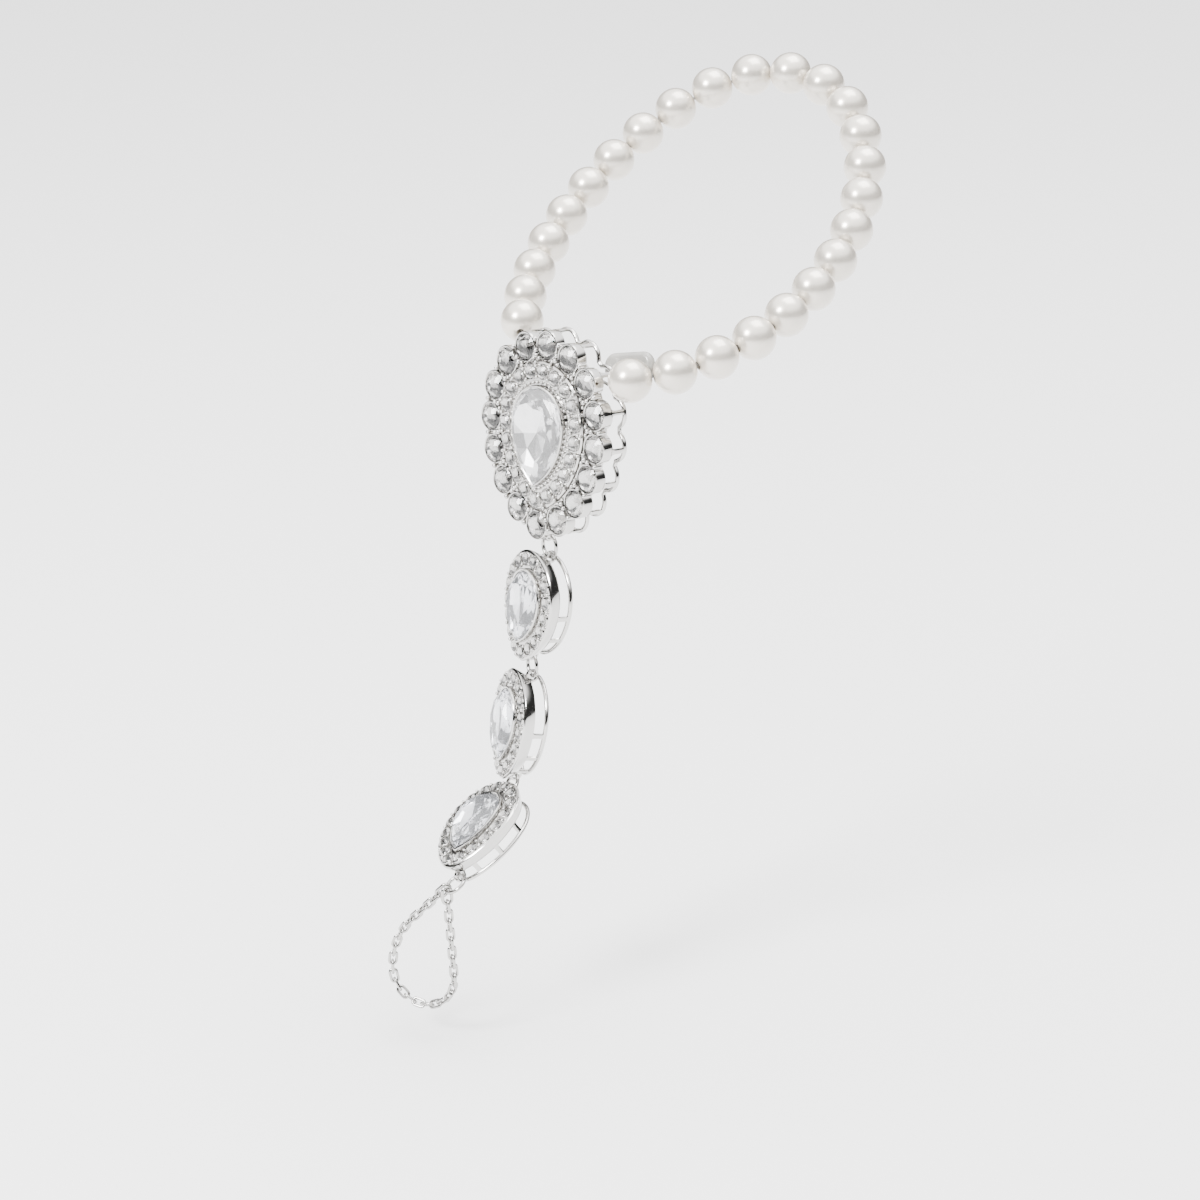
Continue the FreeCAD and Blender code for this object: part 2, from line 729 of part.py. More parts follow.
def toe_path():
    """Closely spaced points from the inner hold to the outer hold."""
    hub = Vector(TOE_INNER_SIDE - TOE_RADIUS, -TOE_DROP, 0)
    outer_hub = Vector(TOE_INNER_SIDE - 2 * TOE_RADIUS + TOE_OUTER_ARC, -TOE_DROP, 0)
    step_back = outer_hold - inner_hold
    goal = Vector(step_back.dot(toe_across), step_back.z, 0)
    to_goal = goal - outer_hub
    bearing = math.atan2(to_goal.y, to_goal.x)
    leave = bearing + math.acos(TOE_OUTER_ARC / to_goal.Length)
    flat = [(Vector(0, 0, 0), 0.0)]

    def straight(finish, depth, steps=40):
        begin, shallow = flat[-1]
        for step in range(1, steps + 1):
            share = step / steps
            flat.append((begin + (finish - begin) * share, shallow + (depth - shallow) * share))

    def arc(middle, radius, start, finish, steps=60):
        for step in range(1, steps + 1):
            angle = start + (finish - start) * step / steps
            flat.append((middle + Vector(math.cos(angle), math.sin(angle), 0) * radius, 0.0))

    straight(Vector(TOE_INNER_SIDE, -TOE_DROP, 0), 0.0)
    arc(hub, TOE_RADIUS, 0, -math.pi)
    arc(outer_hub, TOE_OUTER_ARC, math.pi, leave)
    straight(goal, step_back.dot(toe_forward))
    return [inner_hold + toe_across * p.x + UP * p.y + toe_forward * depth for p, depth in flat]


def link_solid(length, width, wire):
    bend = (width - wire) / 2
    straight = (length - width) / 2
    parts = []
    for end in (1, -1):
        half = Part.makeTorus(bend, wire / 2, Vector(0, 0, 0), UP, -180, 180, 180)
        half.rotate(Vector(0, 0, 0), UP, -90 * end)
        half.translate(Vector(end * straight, 0, 0))
        parts.append(half)
    for side in (1, -1):
        rod = Part.makeCylinder(wire / 2, 2 * straight, Vector(-straight, side * bend, 0),
                                Vector(1, 0, 0))
        parts.append(rod)
    return parts[0].multiFuse(parts[1:]).removeSplitter()


def chain_links():
    path = toe_path()
    run = [0.0]
    for before, after in zip(path, path[1:]):
        run.append(run[-1] + (after - before).Length)

    def at(distance):
        distance = min(max(distance, 0.0), run[-1] - 0.001)
        step = max(index for index in range(len(run) - 1) if run[index] <= distance)
        share = (distance - run[step]) / (run[step + 1] - run[step])
        return path[step] + (path[step + 1] - path[step]) * share

    inner_half = size["link_length"] / 2 - size["link_wire"]
    end_half = size["end_link_length"] / 2 - size["end_link_wire"]
    play = size["link_play"]
    first = end_half - size["ring_wire"] / 2 - play
    second = first + end_half + inner_half - play
    rest = run[-1] - 2 * second
    count = math.ceil(rest / size["link_pitch"]) + 1
    places = [first]
    places += [second + rest * number / (count - 1) for number in range(count)]
    places.append(run[-1] - first)
    plain = link_solid(size["link_length"], size["link_width"], size["link_wire"])
    large = link_solid(size["end_link_length"], size["end_link_width"], size["end_link_wire"])

    def heading(distance):
        ahead = at(distance + LINK_REACH) - at(distance - LINK_REACH)
        ahead.normalize()
        return ahead

    def spin_of(wire, distance):
        ahead = heading(distance)
        return math.atan2(wire.dot(ahead.cross(toe_forward)), wire.dot(toe_forward))

    start_spin = spin_of(inner_wire, places[0])
    steps = len(places) - 1
    left_over = spin_of(outer_wire, places[-1]) - start_spin - steps * math.pi / 2
    left_over = (left_over + math.pi / 2) % math.pi - math.pi / 2
    links = []
    for number, distance in enumerate(places):
        ahead = heading(distance)
        spin = start_spin + number * math.pi / 2 + left_over * number / steps
        plane = toe_forward * math.cos(spin) + ahead.cross(toe_forward) * math.sin(spin)
        link = (large if number in (0, steps) else plain).copy()
        middle = (at(distance + LINK_REACH) + at(distance - LINK_REACH)) * 0.5
        if number in (0, steps):
            middle = at(distance)
        link.Placement = Placement(middle, Rotation(ahead, Vector(0, 0, 0), plane, "XZY"))
        links.append(link)
    return Part.Compound(links)


keep(feature("toe_chain", chain_links()), "toe_chain")

doc.recompute()
for item in doc.Objects:
    if "Invalid" in item.State or "Error" in item.State:
        raise RuntimeError(f"{item.Name} did not recompute: {item.State}")
for item in nodes:
    if item.Shape.isNull() or not item.Shape.isValid():
        raise RuntimeError(f"{item.Label} has no valid shape")

os.makedirs("parts", exist_ok=True)
for item in nodes:
    item.Shape.exportStep(f"parts/{item.Label}.step")
    print(item.Label, len(item.Shape.Solids), round(item.Shape.Volume, 1))
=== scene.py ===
import math
import random

import bpy
import numpy as np
from mathutils import Matrix, Vector


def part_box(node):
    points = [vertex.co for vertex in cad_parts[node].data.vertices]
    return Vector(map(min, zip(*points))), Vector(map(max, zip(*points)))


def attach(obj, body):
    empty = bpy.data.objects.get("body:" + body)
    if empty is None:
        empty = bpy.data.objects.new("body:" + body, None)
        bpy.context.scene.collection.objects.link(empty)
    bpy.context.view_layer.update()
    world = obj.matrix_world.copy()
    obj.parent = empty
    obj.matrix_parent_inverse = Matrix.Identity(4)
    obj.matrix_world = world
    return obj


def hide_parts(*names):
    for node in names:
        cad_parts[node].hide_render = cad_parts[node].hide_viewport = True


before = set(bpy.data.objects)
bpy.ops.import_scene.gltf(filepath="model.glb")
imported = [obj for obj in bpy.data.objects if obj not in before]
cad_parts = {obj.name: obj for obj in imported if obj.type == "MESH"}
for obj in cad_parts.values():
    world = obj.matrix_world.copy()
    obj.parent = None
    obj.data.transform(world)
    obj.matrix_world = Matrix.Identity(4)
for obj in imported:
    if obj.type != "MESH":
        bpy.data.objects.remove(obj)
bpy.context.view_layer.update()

# Sizes are millimetres, turned to metres when a mesh is made. Each jewelled piece is made face up
# round the middle of its centre stone: Y runs from the pear's point to its round end, and heights
# count from the stone's edge toward its face. A profile lists (distance outward from the stone's
# edge, height). Profiles and rings are taken so that every face looks outward.

MM = 0.001
FULL_TURN = 2 * math.pi

# Middle of each piece's centre stone, and how its face looks: turn about the vertical,
# lean upward, roll in its own plane (degrees).
FACES = {
    # piece: (x, y, z, turn, lean, roll)
    "medallion": (-10.9, -37.1, -32.9, -16.0, 3.5, -1.5),
    "drop_1": (-14.1, -37.3, -66.0, -29.5, 5.0, -12.0),
    "drop_2": (-18.4, -37.5, -90.0, -40.0, 8.5, -5.0),
    "drop_3": (-18.8, -47.9, -106.1, -38.5, 53.5, 35.0),
    "knot_cover": (5.2, -31.1, -19.05, -5.9, 14.5, 10.8),
}

# Pearls. The bore narrows a little behind each mouth.
PEARL_COUNT = 25
PEARL_RADIUS = 4.0
PEARL_BORE = 0.8
THROAT_RADIUS = 0.64
THROAT_LEVEL = 3.6
PEARL_SIDES = 44
PEARL_STEPS = 30

# Pear stones: (half width, length).
BIG_PEAR = (6.5, 18.0)
DROP_PEAR = (5.0, 14.0)
STONE_GAP = 0.12

# Cut of the pear stones. Levels are (share of the outline, height) from the edge to the table,
# depth is how far the back reaches, and count is the number of facets round the table.
BIG_CUT = {"levels": ((1.0, 0.12), (0.89, 1.15), (0.73, 1.95)), "depth": 1.9, "count": 9}
DROP_CUT = {"levels": ((1.0, 0.12), (0.87, 1.1), (0.70, 1.85)), "depth": 1.25, "count": 8}
# Height of the edge's rear line, the hub's place up the pear's length, and the ring of points
# between the two facet rows of the back, as shares of the outline and of the depth.
EDGE_BACK = -0.15
HUB_SHARE = 0.04
BACK_SHARE = 0.55
BACK_LEVEL = 0.8

# Rows of round stones. Offset is a row's distance outward from the pear's edge, and sunk is how
# far the stones' own edges lie below it.
OUTER = {"count": 16, "radius": 2.42, "offset": 7.74, "sunk": 1.3, "crown": 1.0, "pavilion": 1.3}
INNER = {"count": 20, "radius": 1.37, "offset": 2.98, "sunk": 0.45, "crown": 0.55, "pavilion": 0.75}
HALO = {"count": 17, "radius": 1.15, "offset": 2.2, "sunk": 0.5, "crown": 0.5, "pavilion": 0.6}

# Cut of the round stones, as shares of radius, crown and pavilion.
TABLE_SHARE = 0.44
GIRDLE_SHARE = 0.05
KITE_LEVEL = 0.58
LOWER_SHARE = 0.3
LOWER_LEVEL = 0.82
STONE_SPIN = 0.4

# Collars round the stones of each row.
OUTER_CUP = {"inner": 2.46, "outer": 2.84, "bottom": -3.2, "top": -1.05, "sides": 44, "foot": 2.75}
INNER_CUP = {"inner": 1.39, "outer": 1.5, "bottom": -1.1, "top": -0.42, "sides": 28, "foot": 1.5}
HALO_CUP = {"inner": 1.17, "outer": 1.36, "bottom": -1.1, "top": -0.4, "sides": 26, "foot": 1.36}

# Beads in each gap of a row: (outward from the row, aside, radius, top, bottom).
OUTER_BEADS = (
    (1.05, 0.0, 0.46, -0.62, -2.4), (-1.0, 0.0, 0.46, -0.62, -2.4), (-1.95, 0.0, 0.5, -0.55, -2.4),
    (-2.45, 0.75, 0.36, -0.68, -2.0), (-2.45, -0.75, 0.36, -0.68, -2.0),
)
INNER_BEADS = (
    (0.98, 0.0, 0.34, -0.06, -1.4), (-1.04, 0.0, 0.34, -0.06, -1.4), (1.62, 0.0, 0.32, -0.06, -1.4),
)
HALO_BEADS = ((0.86, 0.0, 0.34, -0.08, -1.2), (-0.84, 0.0, 0.3, -0.08, -1.2))
BEAD_SIDES = 12
HEAD_TILTS = (0, 25, 48, 68, 84)

# The row of fine beads against the medallion's bezel.
FINE_BEADS = {"offset": 0.95, "count": 48, "radius": 0.3, "top": -0.12, "bottom": -1.2}

# Metal round the centre stones.
BIG_BEZEL = {"bottom": -2.4, "width": 0.3}
DROP_BEZEL = {"bottom": -1.6, "width": 0.36}
BEZEL_LIP = 0.1
BIG_PLATE = (
    (0.4, -3.05), (8.5, -3.2), (8.85, -3.05), (8.9, -1.9), (8.6, -1.62), (5.2, -1.5), (4.8, -1.4),
    (4.72, -0.95), (4.45, -0.72), (0.5, -0.62),
)
DROP_PLATE = (
    (0.4, -2.15), (2.35, -2.25), (2.4, -3.15), (2.9, -3.2), (3.25, -2.6), (3.85, -1.3), (3.9, -1.0),
    (3.72, -0.78), (3.4, -0.68), (0.5, -0.62),
)

# Back rails and the posts that carry them.
RAIL_RADIUS = 0.42
RAIL_SIDES = 12
BIG_RAIL_LEVEL = -6.2
DROP_RAIL_LEVEL = -5.5
DROP_RAIL_OFFSET = 2.72
RAIL_REACH = 2.6
RAIL_VALLEY = 0.95
RAIL_STEPS = 12
POST_TOP = -3.0
POST_WIDTH = 0.95
POST_SIDES = 12
POST_SQUARENESS = 0.55
POST_SPREAD = ((0.0, 1.55), (0.1, 1.15), (0.25, 1.0), (0.75, 1.0), (0.9, 1.2), (1.0, 1.7))
BIG_POST = {"outward": 2.55, "thick": 0.6}
DROP_POST = {"offset": 2.7, "thick": 0.55, "places": (12.9, 18.4, 23.6)}
# The medallion has no post where its lug hangs, below this Y.
LUG_Y = -16.0

# Lugs: an eye with its hole along X, on a short neck. Reach is from the pear's end to the eye's
# middle, root is the neck's height where it meets the metal.
EYE = {"inner": 0.85, "outer": 1.25, "width": 0.8, "chamfer": 0.1, "sides": 28}
NECK_SINK, NECK_BEND, NECK_LENGTH, NECK_RISE = 0.15, 0.5, 1.1, 0.2
BIG_EYE = {"reach": 10.05, "level": -4.4, "root": -3.4}
DROP_EYE = {"reach": 3.2, "level": -3.9, "root": -3.0}

# Jump rings and toe chain. A link longer than END_LINK has the heavier wire.
RING_WIRE = 0.36
RING_SIDES = 14
RING_STEPS = 56
LINK_WIRE = 0.23
END_WIRE = 0.275
END_LINK = 3.4
LINK_FULLNESS = 1.15
LINK_SIDES = 10
LINK_STEPS = 12

# Knot cover: half length, half width, corner radius, edge radius.
COVER = (5.3, 2.6, 2.3, 0.95)
# Its nearly flat top, as (inset from the outline, height), and the height where the edge begins.
COVER_TOP = [(2.2, 1.0), (1.5, 0.99)]
COVER_BELLY = 0.03

# Angles above which an edge stays crisp (degrees).
CRISP_PEARL, CRISP_METAL, CRISP_WIRE, CRISP_COVER = 50, 38, 60, 80

# A stone has two materials: clear glass in front, a silvered coat behind.
GLASS, FOIL = 0, 1


# Meshes are collected as plain lists, so that a piece is one joined mesh.

class Shape:
    def __init__(self):
        self.points = []
        self.faces = []
        self.slots = []
        self.smooth = []

    def add(self, points, groups, smooth=True):
        """Points with the faces over them, in groups of (material slot, faces)."""
        start = len(self.points)
        self.points.extend(Vector(point) for point in points)
        for slot, faces in groups:
            for face in faces:
                self.faces.append([start + index for index in face])
                self.slots.append(slot)
                self.smooth.append(smooth)

    def skin(self, rows, closed=True):
        """A skin over rings of equal length, joined up or closed with a flat cap at each end."""
        count, width = len(rows), len(rows[0])
        faces = []
        for row in range(count if closed else count - 1):
            after = (row + 1) % count
            for column in range(width):
                beside = (column + 1) % width
                faces.append([row * width + column, row * width + beside,
                              after * width + beside, after * width + column])
        if not closed:
            faces.append(list(range(width))[::-1])
            faces.append([(count - 1) * width + column for column in range(width)])
        self.add([point for row in rows for point in row], [(0, faces)])

    def build(self, name, materials, matrix=None, crisp=None):
        mesh = bpy.data.meshes.new(name)
        place = matrix or Matrix.Identity(4)
        mesh.from_pydata([(place @ point) * MM for point in self.points], [], self.faces)
        for material in materials:
            mesh.materials.append(material)
        mesh.polygons.foreach_set("material_index", self.slots)
        mesh.polygons.foreach_set("use_smooth", self.smooth)
        mesh.update()
        if crisp:
            mesh.set_sharp_from_angle(angle=math.radians(crisp))
        item = bpy.data.objects.new(name, mesh)
        bpy.context.scene.collection.objects.link(item)
        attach(item, "root")
        return item


def place(item, node, slot):
    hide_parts(node)


def seat(piece):
    x, y, z, turn, lean, roll = FACES[piece]
    return (Matrix.Translation((x, y, z))
            @ Matrix.Rotation(math.radians(turn), 4, "Z")
            @ Matrix.Rotation(math.radians(90 - lean), 4, "X")
            @ Matrix.Rotation(math.radians(roll), 4, "Z"))


def flat(angle, radius=1.0):
    return Vector((math.cos(angle) * radius, math.sin(angle) * radius, 0))


def rise(level):
    return Vector((0, 0, level))


def left_of(outward):
    return Vector((-outward.y, outward.x, 0))


def ring(centre, radius, level, sides):
    return [centre + flat(FULL_TURN * step / sides, radius) + rise(level) for step in range(sides)]


def tube(shape, path, radius, sides, closed=True, facing=None):
    """A round wire along a path; facing is the normal of a path that lies flat."""
    count = len(path)
    rows = []
    side = None
    for number, point in enumerate(path):
        if closed:
            ahead = path[(number + 1) % count] - path[number - 1]
        else:
            ahead = path[min(number + 1, count - 1)] - path[max(number - 1, 0)]
        ahead = ahead.normalized()
        if facing is not None:
            side = ahead.cross(facing).normalized()
        elif side is None:
            side = ahead.orthogonal().normalized()
        else:
            side = (side - ahead * side.dot(ahead)).normalized()
        up = ahead.cross(side)
        row = []
        for step in range(sides):
            angle = FULL_TURN * step / sides
            row.append(point + side * (math.cos(angle) * radius) + up * (math.sin(angle) * radius))
        rows.append(row)
    shape.skin(rows, closed)


def bead(shape, foot, radius, top, bottom):
    """A small pillar with a round head."""
    rows = [ring(foot, radius, bottom, BEAD_SIDES)]
    for tilt in HEAD_TILTS:
        angle = math.radians(tilt)
        level = top - radius + math.sin(angle) * radius
        rows.append(ring(foot, math.cos(angle) * radius, level, BEAD_SIDES))
    shape.skin(rows, closed=False)


def collar(shape, centre, inner, outer, bottom, top, sides, foot):
    """An upright round wall with a rolled rim; foot is its outer radius at the bottom."""
    thick = outer - inner
    shoulder, turn = thick * 0.55, thick * 0.14
    profile = [
        (foot, bottom),
        (outer, top - shoulder),
        (outer - turn, top - turn),
        (outer - thick * 0.5, top),
        (inner + turn, top - turn),
        (inner, top - shoulder),
        (inner, bottom),
    ]
    shape.skin([ring(centre, radius, level, sides) for radius, level in profile])


# Pear outlines: a half circle at the top, and two flank arcs that meet in the point.

def pear_parts(pear):
    """Height of the half circle's centre, radius of the flanks and the angle they sweep."""
    half_width, length = pear
    tall = length - half_width
    side = (tall * tall + half_width * half_width) / (2 * half_width)
    return length / 2 - half_width, side, math.asin(tall / side)


def pear_half_length(pear, offset):
    _, side, sweep = pear_parts(pear)
    round_end = (pear[0] + offset) * math.pi / 2
    return round_end + (side + offset) * sweep + offset * (math.pi / 2 - sweep)


def pear_point(pear, offset, distance):
    """Point and outward direction at a distance along the outline from its top."""
    half_width, length = pear
    middle, side, sweep = pear_parts(pear)
    mirror = -1 if distance < 0 else 1
    along = abs(distance)
    round_end = (half_width + offset) * math.pi / 2
    flank = (side + offset) * sweep
    if along <= round_end:
        outward = flat(math.pi / 2 - along / (half_width + offset))
        point = Vector((0, middle, 0)) + outward * (half_width + offset)
    elif along <= round_end + flank:
        outward = flat(-(along - round_end) / (side + offset))
        point = Vector((half_width - side, middle, 0)) + outward * (side + offset)
    else:
        outward = flat(-sweep - (along - round_end - flank) / max(offset, 0.001))
        point = Vector((0, -length / 2, 0)) + outward * offset
    return Vector((mirror * point.x, point.y, 0)), Vector((mirror * outward.x, outward.y, 0))


def pear_stations(pear):
    """Closed list of points on the stone's edge with their outward directions."""
    half_width, length = pear
    middle, side, sweep = pear_parts(pear)
    found = []

    def arc(hub, reach, start, end, steps):
        for step in range(steps):
            outward = flat(start + (end - start) * step / steps)
            found.append((hub + outward * reach, outward))

    point_start, point_end = math.pi + sweep, FULL_TURN - sweep
    arc(Vector((0, middle, 0)), half_width, 0, math.pi, 30)
    arc(Vector((side - half_width, middle, 0)), side, math.pi, point_start, 18)
    arc(Vector((0, -length / 2, 0)), 0, point_start, point_end, 8)
    arc(Vector((half_width - side, middle, 0)), side, point_end, FULL_TURN, 18)
    return found


def pear_sweep(shape, pear, profile):
    """A closed profile carried round the pear."""
    around = pear_stations(pear)
    shape.skin([[point + outward * offset + rise(level) for point, outward in around]
                for offset, level in profile])


def spots(pear, offset, count):
    """Even places round the outline, as distances from its top."""
    half = pear_half_length(pear, offset)
    places = []
    for number in range(count):
        distance = number * 2 * half / count
        places.append(distance - 2 * half if distance > half else distance)
    return places


def between(places, pear, offset):
    """The middles of the gaps between places."""
    ordered = sorted(places)
    total = 2 * pear_half_length(pear, offset)
    middles = []
    for first, second in zip(ordered, ordered[1:] + [ordered[0] + total]):
        middle = (first + second) / 2
        middles.append(middle - total if middle > total / 2 else middle)
    return middles


# Stones.

def round_stone(shape, centre, outward, radius, crown, pavilion, spin):
    """A brilliant with a table, stars, kites and halves above, and three facets by eight below."""
    sides = 16
    across = left_of(outward)

    def at(step, reach, level):
        angle = FULL_TURN * step / sides + spin
        return (centre + outward * (math.cos(angle) * reach) + across * (math.sin(angle) * reach)
                + rise(level))

    girdle = radius * GIRDLE_SHARE
    kite_level = girdle + (crown - girdle) * KITE_LEVEL
    kite_reach = radius * (0.5 + TABLE_SHARE / 2)
    points = [at(step, radius, girdle) for step in range(sides)]
    points += [at(step, radius, -girdle) for step in range(sides)]
    points += [at(2 * step, radius * TABLE_SHARE, crown) for step in range(8)]
    points += [at(2 * step + 1, kite_reach, kite_level) for step in range(8)]
    points += [at(2 * step + 1, radius * LOWER_SHARE, -pavilion * LOWER_LEVEL) for step in range(8)]
    points.append(at(0, 0, -pavilion))
    rim, keel, top, middle, lower, culet = 0, 16, 32, 40, 48, 56
    clear = [[top + step for step in range(8)]]
    silver = []
    for step in range(8):
        after, before = (step + 1) % 8, (step - 1) % 8
        here, odd, even = 2 * step, 2 * step + 1, (2 * step + 2) % sides
        clear += [
            [top + step, middle + step, top + after],
            [top + step, middle + before, rim + here, middle + step],
            [middle + step, rim + here, rim + odd],
            [middle + step, rim + odd, rim + even],
            [rim + here, keel + here, keel + odd, rim + odd],
            [rim + odd, keel + odd, keel + even, rim + even],
        ]
        silver += [
            [keel + here, lower + step, keel + odd],
            [keel + odd, lower + step, keel + even],
            [keel + here, lower + before, culet, lower + step],
        ]
    shape.add(points, [(GLASS, clear), (FOIL, silver)], smooth=False)


def pear_stone(shape, pear, cut):
    """A pear with staggered facets round a flat table, silvered behind."""
    half = pear_half_length(pear, 0)
    hub = Vector((0, pear[1] * HUB_SHARE, 0))
    edge_level, belt, table = cut["levels"]
    count, depth = cut["count"], cut["depth"]

    def outline(shift, number_of):
        found = []
        for number in range(number_of):
            distance = 2 * half * (number + shift) / number_of
            if distance > half:
                distance -= 2 * half
            found.append(pear_point(pear, 0, distance)[0])
        return found

    def scaled(base, share, height):
        return [hub + (point - hub) * share + rise(height) for point in base]

    edge = outline(0, 2 * count)
    points = [point + rise(edge_level[1]) for point in edge]
    points += scaled(outline(0.5, count), *belt)
    points += scaled(outline(0, count), *table)
    points += [point + rise(EDGE_BACK) for point in edge]
    points += scaled(outline(0.5, count), BACK_SHARE, -depth * BACK_LEVEL)
    points.append(hub + rise(-depth))
    second, third, lower, back, culet = 2 * count, 3 * count, 4 * count, 6 * count, 7 * count
    clear, silver = [[third + number for number in range(count)]], []
    for number in range(count):
        after, before = (number + 1) % count, (number - 1) % count
        left, halfway, right = 2 * number, 2 * number + 1, (2 * number + 2) % (2 * count)
        clear += [
            [left, halfway, second + number],
            [halfway, right, second + number],
            [right, second + after, third + after, second + number],
            [third + number, second + number, third + after],
            [left, lower + left, lower + halfway, halfway],
            [halfway, lower + halfway, lower + right, right],
        ]
        silver += [
            [lower + left, back + number, lower + halfway],
            [lower + halfway, back + number, lower + right],
            [lower + left, back + before, culet, back + number],
        ]
    # The outline runs clockwise, so each face is turned over.
    shape.add(points, [(GLASS, [face[::-1] for face in clear]),
                       (FOIL, [face[::-1] for face in silver])], smooth=False)


# Materials.

def grey(level):
    return (level, level, level)


def new_material(name):
    material = bpy.data.materials.new(name)
    material.use_nodes = True
    tree = material.node_tree
    return material, tree, tree.nodes["Principled BSDF"]


def settings(shader, values):
    for name, value in values.items():
        shader.inputs[name].default_value = value


def grain(tree, scale, detail=3.0):
    """Noise over the object's own coordinates."""
    coordinates = tree.nodes.new("ShaderNodeTexCoord")
    noise = tree.nodes.new("ShaderNodeTexNoise")
    noise.inputs["Scale"].default_value = scale
    noise.inputs["Detail"].default_value = detail
    tree.links.new(coordinates.outputs["Object"], noise.inputs["Vector"])
    return noise


def ramp(tree, source, stops):
    node = tree.nodes.new("ShaderNodeValToRGB")
    tree.links.new(source, node.inputs["Fac"])
    elements = node.color_ramp.elements
    for number, (position, colour) in enumerate(stops):
        if number >= 2:
            elements.new(position)
        elements[number].position = position
        elements[number].color = (*colour, 1.0)
    return node


def bump(tree, shader, source, strength, distance):
    node = tree.nodes.new("ShaderNodeBump")
    node.inputs["Strength"].default_value = strength
    node.inputs["Distance"].default_value = distance
    tree.links.new(source, node.inputs["Height"])
    tree.links.new(node.outputs["Normal"], shader.inputs["Normal"])


def pearl_material():
    material, tree, shader = new_material("pearl_lustre")
    noise = grain(tree, 260.0, 2.0)
    tint = ramp(tree, noise.outputs["Fac"],
                [(0.35, (0.66, 0.615, 0.545)), (0.65, (0.72, 0.67, 0.595))])
    tree.links.new(tint.outputs["Color"], shader.inputs["Base Color"])
    settings(shader, {
        "Metallic": 0.55, "Roughness": 0.28, "Specular IOR Level": 0.6,
        "Coat Weight": 0.7, "Coat Roughness": 0.09, "Coat IOR": 1.6,
        "Sheen Weight": 0.15, "Sheen Tint": (1.0, 0.86, 0.7, 1.0),
    })
    bump(tree, shader, grain(tree, 900.0).outputs["Fac"], 0.04, 0.00002)
    return material


def metal_material(name, colour, low, high, relief):
    """Plating whose roughness wanders between low and high."""
    material, tree, shader = new_material(name)
    noise = grain(tree, 700.0)
    shine = tree.nodes.new("ShaderNodeMapRange")
    shine.inputs["To Min"].default_value = low
    shine.inputs["To Max"].default_value = high
    tree.links.new(noise.outputs["Fac"], shine.inputs["Value"])
    tree.links.new(shine.outputs["Result"], shader.inputs["Roughness"])
    settings(shader, {"Base Color": (*colour, 1.0), "Metallic": 1.0})
    bump(tree, shader, grain(tree, 1500.0).outputs["Fac"], relief, 0.00004)
    return material


def glass_material(name, colour, roughness, clear):
    material, tree, shader = new_material(name)
    noise = grain(tree, 120.0, 1.0)
    paler = tuple(min(1.0, channel * 1.02) for channel in colour)
    tint = ramp(tree, noise.outputs["Fac"], [(0.3, colour), (0.7, paler)])
    tree.links.new(tint.outputs["Color"], shader.inputs["Base Color"])
    settings(shader, {"Roughness": roughness, "IOR": 1.56, "Transmission Weight": clear})
    return material


def milky_material(name):
    material, tree, shader = new_material(name)
    noise = grain(tree, 180.0)
    tint = ramp(tree, noise.outputs["Fac"],
                [(0.35, (0.24, 0.235, 0.22)), (0.65, (0.34, 0.33, 0.31))])
    tree.links.new(tint.outputs["Color"], shader.inputs["Base Color"])
    settings(shader, {"Roughness": 0.28, "Coat Weight": 0.4, "Coat Roughness": 0.1})
    bump(tree, shader, noise.outputs["Fac"], 0.15, 0.0002)
    return material


PEARL = pearl_material()
SILVER = metal_material("polished_silver", (0.56, 0.55, 0.535), 0.06, 0.16, 0.10)
WIRE = metal_material("silver_wire", (0.46, 0.452, 0.44), 0.05, 0.12, 0.03)
SMALL_GLASS = glass_material("clear_crystal", grey(0.97), 0.0, 1.0)
BIG_GLASS = glass_material("milky_crystal", grey(0.95), 0.03, 0.85)
DROP_GLASS = glass_material("cool_crystal", (0.92, 0.935, 0.97), 0.02, 0.9)
SMALL_FOIL = metal_material("stone_foil", (0.95, 0.94, 0.93), 0.0, 0.04, 0.0)
BIG_FOIL = metal_material("soft_foil", (0.93, 0.93, 0.94), 0.03, 0.08, 0.0)
MILKY = milky_material("milky_pad")
THREAD = milky_material("pale_thread")


# Pearls, each drilled along the string.

def middle_of(node):
    low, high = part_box(node)
    return (low + high) / 2 / MM


def drilled_pearl():
    """Rings from the lower mouth of the bore to the upper one, then back through the bore."""
    origin = Vector((0, 0, 0))
    mouth = math.asin(PEARL_BORE / PEARL_RADIUS)
    rows = []
    for step in range(PEARL_STEPS + 1):
        angle = mouth + (math.pi - 2 * mouth) * step / PEARL_STEPS
        reach, level = math.sin(angle) * PEARL_RADIUS, -math.cos(angle) * PEARL_RADIUS
        rows.append(ring(origin, reach, level, PEARL_SIDES))
    for level in (THROAT_LEVEL, -THROAT_LEVEL):
        rows.append(ring(origin, THROAT_RADIUS, level, PEARL_SIDES))
    shape = Shape()
    shape.skin(rows)
    return shape


pearl_names = [f"pearl_{number + 1:02d}" for number in range(PEARL_COUNT)]
centres = [middle_of(name) for name in pearl_names]
for number, name in enumerate(pearl_names):
    before = centres[max(number - 1, 0)]
    after = centres[min(number + 1, PEARL_COUNT - 1)]
    turn = (after - before).normalized().to_track_quat("Z", "Y").to_matrix().to_4x4()
    spot = Matrix.Translation(centres[number]) @ turn
    place(drilled_pearl().build(f"string_{name}", [PEARL], spot, CRISP_PEARL), name, "pearl")


# Metal work shared by the medallion and the drops.

def bezel(shape, pear, bottom, width):
    """The rim round a centre stone, rolled inward over its edge."""
    inner, outer = STONE_GAP - BEZEL_LIP, STONE_GAP + width
    pear_sweep(shape, pear, [
        (outer, bottom), (outer, 0.0), (outer - 0.05, 0.22), (outer - 0.14, 0.32),
        (inner + 0.12, 0.32), (inner + 0.02, 0.24), (inner, 0.05), (inner, bottom),
    ])


